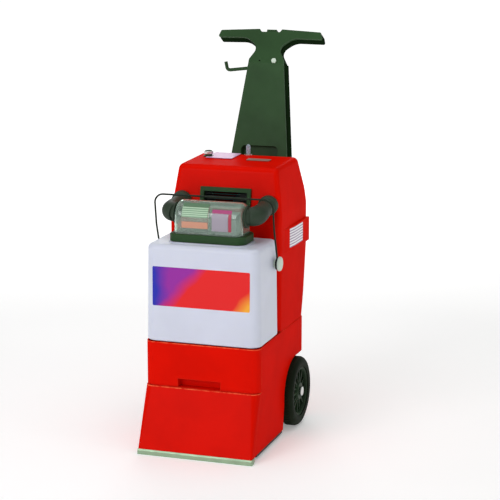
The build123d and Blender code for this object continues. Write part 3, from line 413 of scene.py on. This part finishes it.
def make_label():
    """A generic colour panel on the tank's front, slightly proud of it."""
    bm = bmesh.new()

    def plane(x, up, deep):
        return at(x, TANK_FRONT + (up - TANK_FOOT) * math.tan(TANK_LEAN) + deep, up)

    slab(bm, plane, panel(-116.5, 114.5, 337.5, 427.5), -0.35, 0.6, 0.15)
    s = Surface("tank_label")
    wave = s.ramp(s.noise(16.0, 2.0), 0.0, 1.0, -0.02, 0.02)
    x, z = s.math("ADD", s.axis("X"), wave), s.axis("Z")
    red, blue = (0.80, 0.006, 0.006, 1.0), (0.012, 0.020, 0.42, 1.0)
    purple, amber = (0.30, 0.015, 0.34, 1.0), (0.95, 0.42, 0.03, 1.0)
    slant = s.math("ADD", x, s.math("SUBTRACT", 0.36, z))
    base = s.mix(s.ramp(x, -0.110, -0.075), blue, purple)
    base = s.mix(s.ramp(slant, -0.085, -0.045), base, red)
    low = s.math("SUBTRACT", x, z)
    base = s.mix(s.ramp(low, -0.275, -0.235), base, amber)
    s.set(Base_Color=base, Roughness=0.38, Specular_IOR_Level=0.3)
    finish_piece("tank_label", bm, "recovery_tank", s.material)


# ---------------------------------------------------------------- elbows
ELBOW_X = 105.0              # the straight run's distance from the middle
ELBOW_BEND = 24.0            # radius of the bend's centre line
PORT = (127.0, 538.5)        # depth and height of the dome's ports
ELBOW_RISE = 15.3 / 107      # climb of the straight run towards the housing


def make_elbow(side, sign):
    """An elbow from the housing to the dome's end: cuff, run, bulging bend and end flange."""
    bm = bmesh.new()
    points, radii = [], []

    def add(x, depth, z, radius):
        points.append(at(sign * x, depth, z))
        radii.append(radius * MM)

    def rise(depth):
        return PORT[1] + (depth - PORT[0]) * ELBOW_RISE

    for depth, radius in ((221.0, 21.5), (219.6, 22.6), (217.0, 23.0), (208.0, 23.0), (204.5, 22.4),
                          (203.0, 20.6), (202.4, 19.0), (196.0, 18.6), (185.0, 18.8), (172.0, 19.6),
                          (160.0, 20.8)):
        add(ELBOW_X, depth, rise(depth), radius)
    for k in range(1, 13):
        turn = math.pi / 2 * k / 12
        x = ELBOW_X - ELBOW_BEND + ELBOW_BEND * math.cos(turn)
        depth = PORT[0] + ELBOW_BEND - ELBOW_BEND * math.sin(turn)
        bulge = 20.8 + 1.8 * math.sin(math.pi * k / 12) - 2.3 * (k / 12) ** 2
        if x < 87:
            break
        add(x, depth, rise(depth), bulge)
    for x, radius in ((86.6, 18.6), (86.4, 20.0), (86.2, 24.6), (85.8, 25.4), (83.2, 25.4),
                      (82.6, 24.8), (82.4, 24.0)):
        add(x, PORT[0], PORT[1], radius)
    tube(bm, points, radii, 40)
    finish_piece("elbow_" + side + "_moulding", bm, "chassis", MATERIALS["dark_rubber"],
                 ("elbow_" + side,), 50.0)


# ---------------------------------------------------------------- dome bands and stickers
DOME_AXIS = (129.0, 533.0)   # depth and height
DOME_RADIUS = 37.25
BAND_SPANS = 12              # straight pieces up a dome band
SIDE_X, SIDE_SWELL = 135.9, 5.0            # the side wall, and how far its band stands out at the back
SWELL_START, SWELL_LENGTH = 248.0, 60.0    # depths over which the band rises
TOP_Z, TOP_START, TOP_RISE = 636.6, 320.0, 0.0217


def printed(name, colour, rule=None, pitch=0.0):
    """A plain printed surface, with faint even rules across it when a rule colour is given."""
    s = Surface(name)
    grain = s.noise(900.0)
    base = s.mix(s.ramp(grain, 0.3, 0.7), shade(colour, 0.95), shade(colour, 1.05))
    if rule:
        phase = s.math("FRACT", s.math("DIVIDE", s.axis("Z"), pitch))
        base = s.mix(s.math("LESS_THAN", phase, 0.35), base, rule)
    s.set(Base_Color=base, Roughness=0.4, Specular_IOR_Level=0.3)
    return s.material


def dome_band(name, left, right, low, high, material):
    """A thin printed patch on the dome's front. Angles rise from straight forward to straight up; negative
    ones run down the straight side below."""
    def point(x, radius, k):
        turn = math.radians(low + (high - low) * k / BAND_SPANS)
        round_part = max(turn, 0.0)
        return at(x, DOME_AXIS[0] - radius * math.cos(round_part),
                  DOME_AXIS[1] + radius * (math.sin(round_part) + min(turn, 0.0)))

    bm = bmesh.new()
    steps = range(BAND_SPANS + 1)
    rings = [[point(x, DOME_RADIUS, k) for k in steps]
             + [point(x, DOME_RADIUS + 0.25, k) for k in reversed(steps)] for x in (left, right)]
    skin(bm, rings)
    finish_piece(name, bm, "dome", material)


def make_dome_bands():
    pale = printed("band_pale", (0.42, 0.60, 0.42, 1.0), (0.16, 0.28, 0.18, 1.0), 0.0042)
    dome_band("dome_header", -60, 2, 44, 62, printed("band_header", (0.10, 0.20, 0.11, 1.0)))
    dome_band("dome_panel", -60, 2, 6, 43, pale)
    dome_band("dome_foot", -60, 2, -32, -10, printed("band_foot", (0.62, 0.30, 0.20, 1.0)))
    dome_band("dome_magenta", 12, 58, 24, 38, printed("band_magenta", (0.42, 0.07, 0.20, 1.0)))
    dome_band("dome_lavender", 12, 50, -38, 23, printed("band_lavender", (0.36, 0.32, 0.38, 1.0)))
    dome_band("dome_edge", 51, 58, -38, 23, printed("band_edge", (0.42, 0.05, 0.09, 1.0)))


def make_sticker():
    """A white sticker with fine rules on the housing's side band."""
    bm = bmesh.new()
    rings = []
    for depth in (276, 290, 300, 308, 330, 350, 370):
        x = SIDE_X + SIDE_SWELL * min(1.0, (depth - SWELL_START) / SWELL_LENGTH)
        rings.append([at(x, depth, 442), at(x, depth, 487), at(x - 0.6, depth, 487), at(x - 0.6, depth, 442)])
    skin(bm, rings)
    paper = printed("sticker_paper", (0.86, 0.84, 0.88, 1.0), (0.30, 0.20, 0.36, 1.0), 0.0064)
    finish_piece("side_sticker", bm, "chassis", paper)


def make_top_labels():
    """A plain lilac label and a grey strip on the housing's top."""
    def plane(x, up, deep):
        return at(x, up, TOP_Z + (up - TOP_START) * TOP_RISE + deep)

    for name, left, right, front, back, colour in (("top_label", -85, -20, 320, 392, (0.62, 0.36, 0.58, 1.0)),
                                                   ("top_strip", 18, 74, 313, 336, (0.36, 0.20, 0.17, 1.0))):
        bm = bmesh.new()
        slab(bm, plane, panel(left, right, front, back), 0.6, -0.2, 0.1)
        finish_piece(name, bm, "chassis", printed(name + "_paper", colour))


# ---------------------------------------------------------------- wheels
AXLE = (330.0, 83.0)         # depth and height
TREADS = 60
HUB_RIBS = 14


def make_hub(side, plane):
    """A dished hub with uneven ribs round a plain boss."""
    bm = bmesh.new()
    profile = [(6.8, 120.5), (58.2, 120.5), (58.2, 149.0), (55.5, 149.6), (53.0, 147.5), (51.0, 139.0),
               (24.0, 137.0), (21.5, 146.5), (19.5, 149.0), (6.8, 149.4)]
    lathe(bm, plane, profile, 96)
    rng = random.Random(4)
    for k in range(HUB_RIBS):
        turn = 2 * math.pi * (k + rng.uniform(-0.18, 0.18)) / HUB_RIBS
        half = rng.uniform(1.0, 2.2)
        along, over = (math.cos(turn), math.sin(turn)), (-math.sin(turn), math.cos(turn))
        corners = []
        for radius, top in ((20.0, 145.5), (53.0, rng.uniform(142.0, 145.5))):
            for deep in (136.5, top):
                for move in (-half, half):
                    x, up = (radius * a + move * o for a, o in zip(along, over))
                    corners.append(bm.verts.new(plane(x, up, deep)))
        for quad in BOX_SIDES:
            bm.faces.new([corners[i] for i in quad])
    finish_piece("hub_" + side + "_moulding", bm, "wheel_" + side, MATERIALS["hub_plastic"],
                 ("hub_" + side,))


def make_wheel(side, sign):
    """Tyre with a fine raised tread, and hub with irregular ribs."""
    def plane(x, up, deep):
        return at(sign * deep, AXLE[0] + x, AXLE[1] + up)

    bm = bmesh.new()
    profile = [(58.5, 119.3), (77, 119.3), (80.5, 120.3), (82.2, 122.4), (82.2, 143.6), (80.6, 147.2),
               (77.4, 150.4), (71, 152.9), (66, 152.6), (58.5, 151.6)]
    lathe(bm, plane, profile, 120)
    for k in range(TREADS):
        turn = 2 * math.pi * k / TREADS
        for start, end, skew in ((123.2, 132.6, 0.018), (133.4, 142.8, -0.018)):
            corners = []
            for radius in (81.8, 83.0):
                for deep, tilt in ((start, 0), (end, skew)):
                    for half in (-0.018, 0.018):
                        a = turn + half + tilt
                        corners.append(bm.verts.new(plane(radius * math.cos(a), radius * math.sin(a), deep)))
            for quad in BOX_SIDES:
                bm.faces.new([corners[i] for i in quad])
    finish_piece("tyre_" + side + "_moulding", bm, "wheel_" + side, MATERIALS["tyre"],
                 ("tyre_" + side,))
    make_hub(side, plane)


# ---------------------------------------------------------------- cord hook
HOOK_DEPTH = 556.0           # depth of the spindle's axis
HOOK_RADIUS = 4.2
HOOK_BEND = 8.7              # radius of the bend's centre line
BEND_SPANS = 8


def make_hook():
    """The cord hook: a spindle in the column's bore, bent up at its end."""
    points = [at(-50.0, HOOK_DEPTH, 826.2), at(-80.0, HOOK_DEPTH, 822.6), at(-104.0, HOOK_DEPTH, 819.7)]
    centre = Vector((-105.0, 828.3))
    for k in range(1, BEND_SPANS + 1):
        turn = math.radians(-96 - 84 * k / BEND_SPANS)
        points.append(at(centre.x + HOOK_BEND * math.cos(turn), HOOK_DEPTH + 0.15 * k,
                         centre.y + HOOK_BEND * math.sin(turn)))
    points.append(at(-116.5, 558, 839.5))
    bm = bmesh.new()
    tube(bm, points, [HOOK_RADIUS * MM] * len(points), 24)
    finish_piece("cord_hook_bent", bm, "hook", MATERIALS["dark_plastic"], ("cord_hook",), 50.0)


make_label()
make_hook()
make_dome_bands()
make_sticker()
make_top_labels()
make_wheel("left", -1)
make_wheel("right", 1)
for side, sign in (("left", -1), ("right", 1)):
    make_elbow(side, sign)


# ---------------------------------------------------------------- floor
def make_floor():
    bpy.ops.mesh.primitive_plane_add(size=40.0)
    floor = bpy.context.object
    floor.name = "floor"
    s = Surface("floor")
    s.set(Base_Color=s.mix(s.noise(3.0), (0.90, 0.90, 0.90, 1.0), (0.93, 0.93, 0.93, 1.0)), Roughness=0.9)
    away = s.node("VectorMath", {0: s.place}, operation="LENGTH").outputs["Value"]
    s.set(Emission_Color=(1.0, 1.0, 1.0, 1.0), Emission_Strength=s.ramp(away, 1.2, 4.5, 0.25, 0.72))
    dress(floor, s.material)


make_floor()
